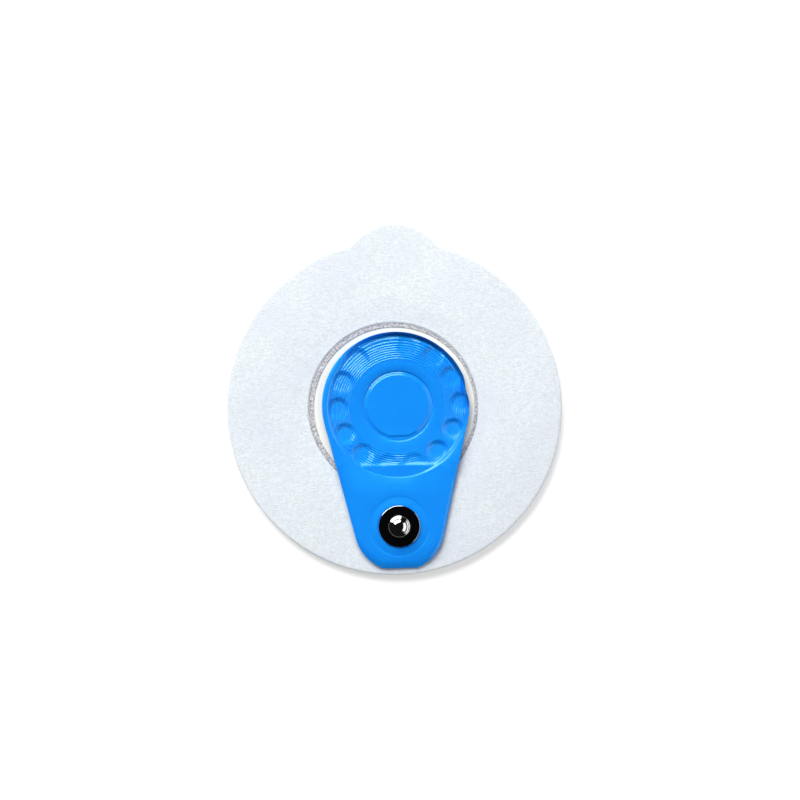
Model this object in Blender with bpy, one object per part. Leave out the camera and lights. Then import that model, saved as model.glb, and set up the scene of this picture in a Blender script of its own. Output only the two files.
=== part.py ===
"""ECG electrode with an offset snap: a round adhesive patch, a gel well and a blue carrier plate.

One object for each separate piece, in metres, +Z up. It lies as it does on a table or on skin.
The origin is the middle of the gel's skin face, the lift tab points to +Y and the snap to -Y.
"""

import math

import bmesh
import bpy

# Adhesive patch of non-woven fabric
PATCH_RADIUS = 0.0340
PATCH_THICKNESS = 0.0004
TAB_RADIUS = 0.0102
TAB_REACH = 0.0035  # how far the lift tab stands out past the round edge
TAB_BLEND = 0.0050  # radius of the hollow corner on each side of the tab
SEAM_WIDTH = 0.00125  # fabric pressed down onto the foam ring
SEAM_THICKNESS = 0.0002
SEAM_SLOPE = 0.0003  # width of the slope from the pressed seam to the full fabric

# Foam ring and the gel sponge in its bore
GEL_RADIUS = 0.0070
GEL_CLEARANCE = 0.0002
RING_HEIGHT = 0.0016
RING_SHOW = 0.00115  # white foam that shows between the plate's edge and the fabric

# Blue carrier plate: round dish over the gel, and a tongue that carries the snap
PLATE_RADIUS = 0.01505
PLATE_THICKNESS = 0.0005
PLATE_SHIFT_X = 0.0004  # the plate sits a little off the patch's centre
PLATE_SHIFT_Y = 0.00025
PLATE_TURN = math.radians(1.5)
SNAP_INSET = 0.0096  # from the patch's round edge in to the snap
TONGUE_RADIUS = 0.0092
TONGUE_CUT = 0.0007  # how much the flat end takes off the tongue's round
SNAP_SEAT_RADIUS = 0.0052  # shallow round pocket that the snap stands in
SNAP_SEAT_DEPTH = 0.00008
SNAP_SEAT_SLOPE = 0.0003

# Relief of the dish, which is pressed a little off the plate's cut edge
RIM_WIDTH = 0.00045  # flat rim between the plate's edge and the dish's wall
DISH_SHIFT_X = 0.00035
DISH_DEPTH = 0.00075
WALL_RUN = 0.0006
GROOVE_WIDTH = 0.0011
GROOVE_DEPTH = 0.00012
GROOVE_SLOPE = 0.0002
DENT_COUNT = 14
DENT_RADIUS = 0.0017
DENT_DEPTH = 0.0002
DENT_MARGIN = 0.0001  # between a dent and the foot of the dish's wall

# Snap: stud above, black base ring, and an eyelet pressed up from below
BASE_RADIUS = 0.0042
BASE_HEIGHT = 0.0005
BASE_EDGE = 0.00018
FOOT_SEAT_DEPTH = 0.00012  # recess of the base ring that the stud's foot stands in
HEAD_RADIUS = 0.0020
HEAD_HEIGHT = 0.0021  # from the stud's foot to its flat top
HEAD_WIDEST = 0.0013  # height of the head's widest ring
NECK_HEIGHT = 0.0006  # height of the neck's narrowest ring
NECK_RADIUS = 0.00165
FOOT_RADIUS = 0.0022
FOOT_HEIGHT = 0.00015
CROWN_RADIUS = 0.0013  # where the head's shoulder meets the raised button on its top
BUTTON_RADIUS = 0.0012
BUTTON_FLAT = 0.0007  # radius of the button's flat middle
BUTTON_HEIGHT = 0.00015
POST_RADIUS = 0.0012
POST_CLEARANCE = 0.0001
STUD_WALL = 0.0004  # metal left above the eyelet's post
FLANGE_RADIUS = 0.0034
FLANGE_HEIGHT = 0.0002

# Conductor: a thin metal strip from the sensor disc to the snap
STRIP_WIDTH = 0.0020
STRIP_THICKNESS = 0.00006
STRIP_EYE_RADIUS = 0.0028
STRIP_STEP_CLEARANCE = 0.00015  # between the strip's step and the dish's wall
SENSOR_RADIUS = 0.0020
SENSOR_HEIGHT = 0.0002

# Every bonded pair is one layer of adhesive apart
GLUE = 0.00005

# Sides of the turned shapes; the dish has a whole number of sides for each dent
SIDES_PER_DENT = 8
RING_SIDES = 96
SNAP_SIDES = 48
ARC_STEP = math.radians(4.0)
SNAP_ARC_STEP = math.radians(22.5)

# Radii that follow from the sizes above, and the distance from the dish's centre to the snap
SNAP_REACH = PATCH_RADIUS - SNAP_INSET
HOLE_RADIUS = PLATE_RADIUS + RING_SHOW
RING_RADIUS = HOLE_RADIUS + SEAM_WIDTH
BORE_RADIUS = GEL_RADIUS + GEL_CLEARANCE
RIM_RADIUS = PLATE_RADIUS - RIM_WIDTH
FLOOR_RADIUS = RIM_RADIUS - WALL_RUN
DENT_RING_RADIUS = FLOOR_RADIUS - DENT_MARGIN - DENT_RADIUS
POST_HOLE_RADIUS = POST_RADIUS + POST_CLEARANCE

# Heights that follow: the dents of the dish are pressed onto the foam ring
PATCH_BASE = RING_HEIGHT + GLUE
FLOOR_BASE = RING_HEIGHT + GLUE + DENT_DEPTH
FLOOR_TOP = FLOOR_BASE + PLATE_THICKNESS
TONGUE_BASE = FLOOR_BASE + DISH_DEPTH
TONGUE_TOP = TONGUE_BASE + PLATE_THICKNESS
STRIP_TOP = FLOOR_BASE - GLUE
STRIP_TOP_AT_SNAP = TONGUE_BASE - GLUE
SENSOR_TOP = STRIP_TOP - STRIP_THICKNESS - GLUE
GEL_HEIGHT = SENSOR_TOP - SENSOR_HEIGHT - GLUE
FLANGE_TOP = STRIP_TOP_AT_SNAP - STRIP_THICKNESS - GLUE
BASE_BOTTOM = TONGUE_TOP - SNAP_SEAT_DEPTH + GLUE
BASE_TOP = BASE_BOTTOM + BASE_HEIGHT
FOOT_SEAT = BASE_TOP - FOOT_SEAT_DEPTH
STUD_BOTTOM = FOOT_SEAT + GLUE
STUD_TOP = STUD_BOTTOM + HEAD_HEIGHT
SHOULDER_TOP = STUD_TOP - BUTTON_HEIGHT
STUD_CEILING = SHOULDER_TOP - STUD_WALL


def clear_scene():
    """Removes whatever the open file holds."""
    for item in list(bpy.data.objects):
        bpy.data.objects.remove(item, do_unlink=True)


def material(name, colour, roughness, metallic=0.0):
    """A plain surface in one colour."""
    surface = bpy.data.materials.new(name)
    surface.use_nodes = True
    shader = surface.node_tree.nodes["Principled BSDF"]
    shader.inputs["Base Color"].default_value = (*colour, 1.0)
    shader.inputs["Roughness"].default_value = roughness
    shader.inputs["Metallic"].default_value = metallic
    surface.diffuse_color = (*colour, 1.0)
    return surface


def finish(name, mesh_data, surface, parent=None):
    """Turns a closed bmesh into a smooth shaded object with its faces pointing out."""
    bmesh.ops.recalc_face_normals(mesh_data, faces=mesh_data.faces)
    mesh = bpy.data.meshes.new(name)
    mesh_data.to_mesh(mesh)
    mesh_data.free()
    mesh.shade_smooth()
    mesh.set_sharp_from_angle(angle=math.radians(30.0))
    mesh.materials.append(surface)
    piece = bpy.data.objects.new(name, mesh)
    piece.parent = parent
    bpy.context.scene.collection.objects.link(piece)
    return piece


def arc(centre, radius, start, end, step_angle=ARC_STEP):
    """Points along an arc from one angle to the other, both ends included."""
    steps = max(2, math.ceil(abs(end - start) / step_angle - 1e-6))
    angles = [start + (end - start) * step / steps for step in range(steps + 1)]
    return [(centre[0] + radius * math.cos(a), centre[1] + radius * math.sin(a)) for a in angles]


def circle(radius, sides, centre=(0.0, 0.0)):
    """Points evenly round a circle, the first at +X."""
    angles = [math.tau * side / sides for side in range(sides)]
    return [(centre[0] + radius * math.cos(a), centre[1] + radius * math.sin(a)) for a in angles]


def add_loop(mesh_data, points, height):
    """A closed loop of vertices; height is one number, or a function of x and y."""
    level = height if callable(height) else lambda x, y: height
    loop = [mesh_data.verts.new((x, y, level(x, y))) for x, y in points]
    for first, second in zip(loop, loop[1:] + loop[:1]):
        mesh_data.edges.new((first, second))
    return loop


def skin(mesh_data, loops):
    """Joins each loop to the next with a band of quads; all have as many points."""
    for lower, upper in zip(loops, loops[1:]):
        count = len(lower)
        for index in range(count):
            after = (index + 1) % count
            mesh_data.faces.new((lower[index], lower[after], upper[after], upper[index]))


def fill(mesh_data, loops):
    """Fills the flat region between an outer loop and the loops inside it."""
    edges = []
    for loop in loops:
        for first, second in zip(loop, loop[1:] + loop[:1]):
            edges.append(mesh_data.edges.get((first, second)))
    bmesh.ops.triangle_fill(mesh_data, use_beauty=True, edges=edges)


def turned(name, profile, sides, surface, parent=None, place=(0.0, 0.0)):
    """Spins a closed outline of (radius, height) points round a vertical axis."""
    mesh_data = bmesh.new()
    points = [mesh_data.verts.new((radius, 0.0, height)) for radius, height in profile]
    edges = []
    for first, second in zip(points, points[1:] + points[:1]):
        if first.co.x > 0.0 or second.co.x > 0.0:
            edges.append(mesh_data.edges.new((first, second)))
    bmesh.ops.spin(
        mesh_data,
        geom=points + edges,
        cent=(0.0, 0.0, 0.0),
        axis=(0.0, 0.0, 1.0),
        angle=math.tau,
        steps=sides,
        use_merge=True,
    )
    bmesh.ops.remove_doubles(mesh_data, verts=mesh_data.verts, dist=1e-7)
    bmesh.ops.translate(mesh_data, verts=mesh_data.verts, vec=(*place, 0.0))
    return finish(name, mesh_data, surface, parent)


def patch_outline():
    """Round edge with a lift tab, joined by a hollow arc on each side of the tab."""
    tab_centre = PATCH_RADIUS + TAB_REACH - TAB_RADIUS
    blend_reach = PATCH_RADIUS + TAB_BLEND
    tab_to_blend = TAB_RADIUS + TAB_BLEND
    # The blend's centre, its distance to both circles known, as an angle from +Y
    cosine = (blend_reach**2 + tab_centre**2 - tab_to_blend**2) / (2 * blend_reach * tab_centre)
    lean = math.acos(cosine)
    blend_x = blend_reach * math.sin(lean)
    blend_y = blend_reach * math.cos(lean)
    tab_lean = math.atan2(blend_x, blend_y - tab_centre)
    quarter = math.pi / 2
    # The right blend touches the round edge below it and the tab to its left
    to_edge = -quarter - lean
    to_tab = -quarter - tab_lean
    right_blend = arc((blend_x, blend_y), TAB_BLEND, to_edge, to_tab)
    left_blend = [(-x, y) for x, y in reversed(right_blend)]
    tab = arc((0.0, tab_centre), TAB_RADIUS, quarter - tab_lean, quarter + tab_lean)
    edge = arc((0.0, 0.0), PATCH_RADIUS, quarter + lean, quarter - lean + math.tau)
    return right_blend[:-1] + tab[:-1] + left_blend[:-1] + edge[:-1]


def fabric_patch(surface):
    """Flat fabric with a round hole, pressed thin where it is bonded to the foam ring."""
    mesh_data = bmesh.new()
    outline = patch_outline()
    patch_top = PATCH_BASE + PATCH_THICKNESS
    seam_top = PATCH_BASE + SEAM_THICKNESS
    hole = circle(HOLE_RADIUS, RING_SIDES)
    hole_base = add_loop(mesh_data, hole, PATCH_BASE)
    hole_top = add_loop(mesh_data, hole, seam_top)
    seam_edge = add_loop(mesh_data, circle(RING_RADIUS, RING_SIDES), seam_top)
    full_edge = add_loop(mesh_data, circle(RING_RADIUS + SEAM_SLOPE, RING_SIDES), patch_top)
    outer_top = add_loop(mesh_data, outline, patch_top)
    outer_base = add_loop(mesh_data, outline, PATCH_BASE)
    skin(mesh_data, [hole_base, hole_top, seam_edge, full_edge])
    skin(mesh_data, [outer_base, outer_top])
    fill(mesh_data, [outer_top, full_edge])
    fill(mesh_data, [outer_base, hole_base])
    return finish("fabric_patch", mesh_data, surface)


def foam_ring(surface):
    """Flat ring of closed-cell foam; its bore holds the gel sponge."""
    profile = [
        (BORE_RADIUS, 0.0),
        (RING_RADIUS, 0.0),
        (RING_RADIUS, RING_HEIGHT),
        (BORE_RADIUS, RING_HEIGHT),
    ]
    return turned("foam_ring", profile, RING_SIDES, surface)


def gel_sponge(surface):
    """Sponge disc soaked with gel, level with the foam ring's skin face."""
    profile = [(0.0, 0.0), (GEL_RADIUS, 0.0), (GEL_RADIUS, GEL_HEIGHT), (0.0, GEL_HEIGHT)]
    return turned("gel_sponge", profile, SNAP_SIDES, surface)


def plate_outline():
    """The outline round two circles of unlike size, cut off flat past the smaller one."""
    lean = math.asin((PLATE_RADIUS - TONGUE_RADIUS) / SNAP_REACH)
    corner = math.asin(1.0 - TONGUE_CUT / TONGUE_RADIUS)
    snap = (0.0, -SNAP_REACH)
    dish_end = arc((0.0, 0.0), PLATE_RADIUS, -lean, math.pi + lean)
    left = arc(snap, TONGUE_RADIUS, math.pi + lean, math.pi + corner)
    right = arc(snap, TONGUE_RADIUS, math.tau - corner, math.tau - lean)
    return dish_end + left + right


def dent_depth(x, y):
    """Depth of the round dents at a point, smooth from each middle to nothing at its edge."""
    radius = math.hypot(x - DISH_SHIFT_X, y)
    pitch = math.tau / DENT_COUNT
    angle = math.atan2(y, x - DISH_SHIFT_X)
    beside = DENT_RING_RADIUS * (angle - pitch * round(angle / pitch))
    share = math.hypot(radius - DENT_RING_RADIUS, beside) / DENT_RADIUS
    return DENT_DEPTH * (1.0 - share**2) ** 2 if share < 1.0 else 0.0


def dish_side(mesh_data, stations):
    """One face of the dish: loops at (radius, height) stations, dented, with a point in the middle."""
    loops = []
    for radius, height in stations:
        points = circle(radius, DENT_COUNT * SIDES_PER_DENT, (DISH_SHIFT_X, 0.0))
        loops.append(add_loop(mesh_data, points, lambda x, y, z=height: z - dent_depth(x, y)))
    skin(mesh_data, loops)
    middle = mesh_data.verts.new((DISH_SHIFT_X, 0.0, stations[0][1]))
    first = loops[0]
    for index, vertex in enumerate(first):
        mesh_data.faces.new((middle, vertex, first[(index + 1) % len(first)]))
    return loops[-1]


def cover_plate(surface, parent):
    """Blue pressed plate: dish with groove and dents, flat rim, tongue with a snap hole.

    Its thickness is measured straight down, so the dish's wall is drawn thinner than the rest.
    """
    mesh_data = bmesh.new()
    groove_outer = BORE_RADIUS + GROOVE_SLOPE
    groove_inner = groove_outer - GROOVE_WIDTH
    dents = [DENT_RING_RADIUS + DENT_RADIUS * share for share in (-1.0, -0.5, 0.0, 0.5, 1.0)]
    top_stations = [
        (groove_inner, FLOOR_TOP),
        (groove_inner + GROOVE_SLOPE, FLOOR_TOP - GROOVE_DEPTH),
        (groove_outer - GROOVE_SLOPE, FLOOR_TOP - GROOVE_DEPTH),
        (groove_outer, FLOOR_TOP),
        *[(radius, FLOOR_TOP) for radius in dents],
        (FLOOR_RADIUS, FLOOR_TOP),
        (RIM_RADIUS, TONGUE_TOP),
    ]
    base_stations = [
        *[(radius, FLOOR_BASE) for radius in dents],
        (FLOOR_RADIUS, FLOOR_BASE),
        (RIM_RADIUS, TONGUE_BASE),
    ]
    snap = (0.0, -SNAP_REACH)
    outline = plate_outline()
    post_hole = circle(POST_HOLE_RADIUS, SNAP_SIDES, snap)
    seat_level = TONGUE_TOP - SNAP_SEAT_DEPTH
    outer_top = add_loop(mesh_data, outline, TONGUE_TOP)
    outer_base = add_loop(mesh_data, outline, TONGUE_BASE)
    hole_top = add_loop(mesh_data, post_hole, seat_level)
    hole_base = add_loop(mesh_data, post_hole, TONGUE_BASE)
    seat_foot = add_loop(
        mesh_data, circle(SNAP_SEAT_RADIUS - SNAP_SEAT_SLOPE, SNAP_SIDES, snap), seat_level
    )
    seat_edge = add_loop(mesh_data, circle(SNAP_SEAT_RADIUS, SNAP_SIDES, snap), TONGUE_TOP)
    dish_top = dish_side(mesh_data, top_stations)
    dish_base = dish_side(mesh_data, base_stations)
    skin(mesh_data, [outer_base, outer_top])
    skin(mesh_data, [hole_base, hole_top, seat_foot, seat_edge])
    fill(mesh_data, [outer_top, dish_top, seat_edge])
    fill(mesh_data, [outer_base, dish_base, hole_base])
    return finish("cover_plate", mesh_data, surface, parent)


def conductor_strip(surface, parent):
    """Thin strip under the plate, from the sensor to an eye at the snap, with a step at the wall."""
    mesh_data = bmesh.new()
    half = STRIP_WIDTH / 2
    snap = (0.0, -SNAP_REACH)
    spread = math.asin(half / STRIP_EYE_RADIUS)
    eye = arc(snap, STRIP_EYE_RADIUS, math.pi / 2 + spread, math.pi * 5 / 2 - spread)
    end = arc((0.0, 0.0), half, 0.0, math.pi)
    outer = add_loop(mesh_data, end + eye, 0.0)
    hole = add_loop(mesh_data, circle(POST_HOLE_RADIUS, SNAP_SIDES, snap), 0.0)
    fill(mesh_data, [outer, hole])
    extruded = bmesh.ops.extrude_face_region(mesh_data, geom=mesh_data.faces[:])
    moved = [item for item in extruded["geom"] if isinstance(item, bmesh.types.BMVert)]
    bmesh.ops.translate(mesh_data, verts=moved, vec=(0.0, 0.0, STRIP_THICKNESS))
    fold_start = -(FLOOR_RADIUS + STRIP_STEP_CLEARANCE)
    fold_end = fold_start - WALL_RUN
    for fold in (fold_start, fold_end):
        everything = mesh_data.verts[:] + mesh_data.edges[:] + mesh_data.faces[:]
        bmesh.ops.bisect_plane(
            mesh_data, geom=everything, plane_co=(0.0, fold, 0.0), plane_no=(0.0, 1.0, 0.0)
        )
    for vertex in mesh_data.verts:
        share = (vertex.co.y - fold_start) / (fold_end - fold_start)
        rise = min(max(share, 0.0), 1.0) * (STRIP_TOP_AT_SNAP - STRIP_TOP)
        vertex.co.z += STRIP_TOP - STRIP_THICKNESS + rise
    return finish("conductor_strip", mesh_data, surface, parent)


def sensor_disc(surface, parent):
    """Small disc under the strip's end, pressed against the gel sponge."""
    bottom = SENSOR_TOP - SENSOR_HEIGHT
    profile = [(0.0, bottom), (SENSOR_RADIUS, bottom), (SENSOR_RADIUS, SENSOR_TOP), (0.0, SENSOR_TOP)]
    return turned("sensor_disc", profile, SNAP_SIDES, surface, parent)


def snap_base(surface, parent):
    """Black ring under the stud, with a softened edge; a lead's socket seats on its flat top."""
    corner = (BASE_RADIUS - BASE_EDGE, BASE_TOP - BASE_EDGE)
    seat_radius = FOOT_RADIUS + POST_CLEARANCE
    profile = [
        (POST_HOLE_RADIUS, BASE_BOTTOM),
        (BASE_RADIUS, BASE_BOTTOM),
        *arc(corner, BASE_EDGE, 0.0, math.pi / 2, SNAP_ARC_STEP),
        (seat_radius, BASE_TOP),
        (seat_radius, FOOT_SEAT),
        (POST_HOLE_RADIUS, FOOT_SEAT),
    ]
    return turned("snap_base", profile, SNAP_SIDES, surface, parent, (0.0, -SNAP_REACH))


def snap_stud(surface, parent):
    """Hollow stud: foot, neck, round head with a raised button on top; open below for the post."""
    widest = STUD_BOTTOM + HEAD_WIDEST
    crown_width = HEAD_RADIUS - CROWN_RADIUS
    crown_height = SHOULDER_TOP - widest
    button_edge = BUTTON_RADIUS - BUTTON_FLAT
    quarter = arc((0.0, 0.0), 1.0, 0.0, math.pi / 2, SNAP_ARC_STEP)
    profile = [
        (0.0, STUD_CEILING),
        (POST_HOLE_RADIUS, STUD_CEILING),
        (POST_HOLE_RADIUS, STUD_BOTTOM),
        (FOOT_RADIUS, STUD_BOTTOM),
        (FOOT_RADIUS, STUD_BOTTOM + FOOT_HEIGHT),
        (NECK_RADIUS, STUD_BOTTOM + NECK_HEIGHT),
        *[(CROWN_RADIUS + crown_width * x, widest + crown_height * y) for x, y in quarter],
        *[(BUTTON_FLAT + button_edge * x, SHOULDER_TOP + BUTTON_HEIGHT * y) for x, y in quarter],
        (0.0, STUD_TOP),
    ]
    return turned("snap_stud", profile, SNAP_SIDES, surface, parent, (0.0, -SNAP_REACH))


def snap_eyelet(surface, parent):
    """Flanged post pressed up through strip, plate and base into the hollow stud."""
    flange_bottom = FLANGE_TOP - FLANGE_HEIGHT
    post_top = STUD_CEILING - GLUE
    profile = [
        (0.0, flange_bottom),
        (FLANGE_RADIUS, flange_bottom),
        (FLANGE_RADIUS, FLANGE_TOP),
        (POST_RADIUS, FLANGE_TOP),
        (POST_RADIUS, post_top),
        (0.0, post_top),
    ]
    return turned("snap_eyelet", profile, SNAP_SIDES, surface, parent, (0.0, -SNAP_REACH))


def build():
    """Makes every piece; those of the carrier plate hang on one turned and shifted empty."""
    clear_scene()
    carrier = bpy.data.objects.new("carrier", None)
    carrier.location = (PLATE_SHIFT_X, PLATE_SHIFT_Y, 0.0)
    carrier.rotation_euler = (0.0, 0.0, PLATE_TURN)
    bpy.context.scene.collection.objects.link(carrier)

    fabric_patch(material("non_woven_fabric", (0.84, 0.86, 0.88), 0.9))
    foam_ring(material("white_foam", (0.88, 0.87, 0.82), 0.7))
    gel_sponge(material("gel_soaked_sponge", (0.80, 0.82, 0.76), 0.25))
    cover_plate(material("blue_plastic", (0.01, 0.28, 1.0), 0.22), carrier)
    conductor_strip(material("silver_strip", (0.72, 0.72, 0.70), 0.35, 1.0), carrier)
    sensor_disc(material("silver_chloride", (0.45, 0.44, 0.43), 0.6, 0.6), carrier)
    snap_base(material("black_plastic", (0.006, 0.006, 0.007), 0.15), carrier)
    snap_stud(material("bright_nickel", (0.80, 0.80, 0.78), 0.12, 1.0), carrier)
    snap_eyelet(material("silvered_brass", (0.70, 0.69, 0.66), 0.25, 1.0), carrier)
    bpy.context.view_layer.update()


build()
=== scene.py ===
"""Look of a single-use ECG electrode with an offset snap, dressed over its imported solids.

A white non-woven patch with a lift tab lies flat. A foam ring in its middle holds a gel sponge,
and a glossy blue plate covers both. The plate's tongue carries the snap. +Z is up, the tab points
to +Y and the snap to -Y. Shapes are worked out in millimetres and put into the meshes in metres.
"""

import math

import bmesh
import bpy
import numpy as np
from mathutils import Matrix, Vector
from mathutils.geometry import delaunay_2d_cdt


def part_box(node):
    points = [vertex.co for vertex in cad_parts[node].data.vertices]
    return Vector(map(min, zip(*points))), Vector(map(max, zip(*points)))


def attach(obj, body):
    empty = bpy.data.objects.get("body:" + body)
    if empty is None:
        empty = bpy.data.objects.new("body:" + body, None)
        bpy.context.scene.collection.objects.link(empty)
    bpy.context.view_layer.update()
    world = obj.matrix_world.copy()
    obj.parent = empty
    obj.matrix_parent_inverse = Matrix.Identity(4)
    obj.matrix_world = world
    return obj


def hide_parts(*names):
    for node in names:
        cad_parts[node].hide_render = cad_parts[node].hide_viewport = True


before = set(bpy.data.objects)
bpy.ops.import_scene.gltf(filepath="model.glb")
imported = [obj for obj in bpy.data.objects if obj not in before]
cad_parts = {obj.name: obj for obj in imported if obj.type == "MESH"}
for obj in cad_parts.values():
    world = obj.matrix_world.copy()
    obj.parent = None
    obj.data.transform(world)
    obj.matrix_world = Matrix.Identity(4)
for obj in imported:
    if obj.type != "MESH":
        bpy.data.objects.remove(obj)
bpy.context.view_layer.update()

bl_info = {
    "name": "ECG electrode with an offset snap",
    "version": (1, 0, 0),
    "blender": (4, 5, 0),
    "location": "3D View > Sidebar > Electrode",
    "description": "Builds the fabric, foam, gel, plate and snap of an ECG electrode",
    "category": "Add Mesh",
}

MM = 0.001

# Patch of non-woven fabric, in millimetres
PATCH_RADIUS = 34.0
TAB_RADIUS = 10.2
TAB_REACH = 3.5
TAB_BLEND = 5.0
HOLE_RADIUS = 16.35
SEAM_RADIUS = 17.25
SEAM_SHIFT = (-0.24, -0.03)
BOND_RADIUS = SEAM_RADIUS + 0.6
PATCH_BASE = 1.65
SEAM_TOP = 1.76
SEAM_STEP = 0.12
SWELL_REACH = 4.5
PATCH_TOP = 2.05

# Foam ring and gel sponge
BORE_RADIUS = 7.2
RING_TOP = 1.6
GEL_RADIUS = 7.0
GEL_TOP = 1.44

# Blue plate; its own frame has the dish's round outline about the middle and the snap at -Y
PLATE_TURN = math.radians(1.5)
PLATE_SHIFT = (0.4, 0.25)
PLATE_RADIUS = 15.05
EDGE_RADIUS = 15.0
EDGE_SHIFT = (-0.10, 0.16)
SNAP_REACH = 24.4
TONGUE_RADIUS = 9.2
TONGUE_CUT = 0.7
RIM_TOP = 3.1
RIM_BASE = 2.6
FLOOR_TOP = 2.35
FLOOR_BASE = 1.85
POST_HOLE = 1.3
SEAT_DEPTH = 0.08
BOSS_HEIGHT = 0.05
TONGUE_BEND = 0.019
RIM_INSET = 0.09

# Dish: distances from its middle, heights over its floor, and sectors as the degrees over which
# each begins and ends
DISH_X = 0.35
GROOVE_LIP = 6.3
GROOVE_LEDGE = 6.56
GROOVE_FALL = (6.7, 6.97)
GROOVE_RISE = (7.02, 7.26)
SHOULDER = (7.28, 8.7)
SHOULDER_HEIGHT = 0.07
SHOULDER_EXTRA = 0.12
FLOOR_FALL = (9.4, 14.0)
FLOOR_DROP = 0.14
SHELF_RISE = 0.38
LEFT_RISE = 0.35
LOWER_RIGHT_DROP = 0.1
FIRST_RING = 9.7
RINGS_BEGIN = (9.45, 9.75)
RINGS_END = (13.8, 14.1)
DENT_COUNT = 14
DENT_RING = 12.2
DENT_REACH = 2.45
DENT_TURN = 0.02
TRENCH_RADIUS = 14.02
TRENCH_REACH = 0.42
TRENCH_DEPTH = 0.42
LOWEST = -0.6
WALL_FOOT = 14.05
RIDGE_RADIUS = 14.25
RIDGE_HEIGHT = 0.08
CREST_RADIUS = 14.35
RIM_RADIUS = 14.6
SHELF_START = (-11.3, -12.3)
SHELF_HEIGHT = 0.5
NOTCH_ANGLE = math.radians(12.0)
NOTCH_SPREAD = math.radians(6.5)
NOTCH_DEPTH = 0.4
NOTCH_REACH = (11.4, 14.4)
LEFT_SECTOR = ((115.0, 150.0), (205.0, 240.0))
LOWER_RIGHT_SECTOR = ((275.0, 300.0), (330.0, 350.0))
FLANGE_SECTOR = ((105.0, 165.0), (290.0, 330.0))

# Snap: heights come from the solids
BASE_RADIUS = 4.2
BEVEL = 0.065
FOOT_SEAT = 2.3
HEAD_RADIUS = 2.0
FLANGE_RADIUS = 3.4
POST_RADIUS = 1.2
BEVEL_METAL = (0.40, 0.48, 0.52)
BRASS = (0.70, 0.69, 0.66)
STRIP_SILVER = (0.72, 0.72, 0.70)
DISC_SILVER = (0.45, 0.44, 0.43)

# Stage, in millimetres
FLOOR_RADIUS = 1500.0
FLOOR_BEND = 200.0
WALL_TOP = 420.0
CAMERA_HEIGHT = 900.0
CAMERA_MIDDLE = (1.16, 1.52)


def box_middle(node):
    """Middle of a solid's box as x and y, in millimetres."""
    low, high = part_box(node)
    return (low.x + high.x) / 2 / MM, (low.y + high.y) / 2 / MM


def box_heights(node):
    """Lowest and highest point of a solid, in millimetres."""
    low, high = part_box(node)
    return low.z / MM, high.z / MM


SNAP = box_middle("snap_stud")
STUD_BOTTOM, STUD_TOP = box_heights("snap_stud")
BASE_BOTTOM, BASE_TOP = box_heights("snap_base")
FLANGE_BOTTOM, POST_TOP = box_heights("snap_eyelet")


# Sizes and colours that a user would change

COLOUR = {"subtype": "COLOR", "size": 3, "min": 0.0, "max": 1.0}
LENGTH = {"subtype": "DISTANCE", "unit": "LENGTH", "precision": 5}
LIGHT = {"min": 0.0, "max": 20.0}


class PatchSettings(bpy.types.PropertyGroup):
    """Adhesive patch of non-woven fabric"""

    colour: bpy.props.FloatVectorProperty(
        name="Fabric colour",
        description="Colour of the flat fabric",
        default=(0.82, 0.885, 0.93),
        **COLOUR,
    )
    seam_colour: bpy.props.FloatVectorProperty(
        name="Seam colour",
        description="Colour of the fabric where it is pressed onto the foam ring",
        default=(0.50, 0.50, 0.52),
        **COLOUR,
    )
    droop: bpy.props.FloatProperty(
        name="Droop",
        description="How far the fabric's outer edge hangs below its bonded middle",
        min=0.0,
        max=0.001,
        default=0.00020,
        **LENGTH,
    )
    ripple: bpy.props.FloatProperty(
        name="Ripple",
        description="Height of the fabric's soft unevenness",
        min=0.0,
        max=0.0005,
        default=0.00006,
        **LENGTH,
    )


class PadSettings(bpy.types.PropertyGroup):
    """Foam ring and gel sponge"""

    foam_colour: bpy.props.FloatVectorProperty(
        name="Foam colour",
        description="Colour of the closed-cell foam ring",
        default=(0.94, 0.94, 0.87),
        **COLOUR,
    )
    gel_colour: bpy.props.FloatVectorProperty(
        name="Gel colour",
        description="Colour of the sponge soaked with gel",
        default=(0.80, 0.82, 0.76),
        **COLOUR,
    )


class PlateSettings(bpy.types.PropertyGroup):
    """Blue carrier plate"""

    colour: bpy.props.FloatVectorProperty(
        name="Plate colour",
        description="Colour of the moulded sheet",
        default=(0.006, 0.278, 1.0),
        **COLOUR,
    )
    groove_depth: bpy.props.FloatProperty(
        name="Groove depth",
        description="Depth of the ring groove round the gel well",
        min=0.0,
        max=0.0004,
        default=0.00026,
        **LENGTH,
    )
    ring_height: bpy.props.FloatProperty(
        name="Ring height",
        description="Height of the fine rings over the hollows between them",
        min=0.0,
        max=0.0002,
        default=0.00011,
        **LENGTH,
    )
    ring_pitch: bpy.props.FloatProperty(
        name="Ring pitch",
        description="Distance from one fine ring to the next",
        min=0.0002,
        max=0.001,
        default=0.00046,
        **LENGTH,
    )
    dent_depth: bpy.props.FloatProperty(
        name="Dent depth",
        description="Depth of the round dents between the fine rings",
        min=0.0,
        max=0.001,
        default=0.00052,
        **LENGTH,
    )


class SnapSettings(bpy.types.PropertyGroup):
    """Snap and the conductor under the plate"""

    metal_colour: bpy.props.FloatVectorProperty(
        name="Stud colour",
        description="Colour of the bright plated stud",
        default=(0.62, 0.61, 0.60),
        **COLOUR,
    )
    base_colour: bpy.props.FloatVectorProperty(
        name="Base colour",
        description="Colour of the polished ring under the stud",
        default=(0.0012, 0.0010, 0.0016),
        **COLOUR,
    )


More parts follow.
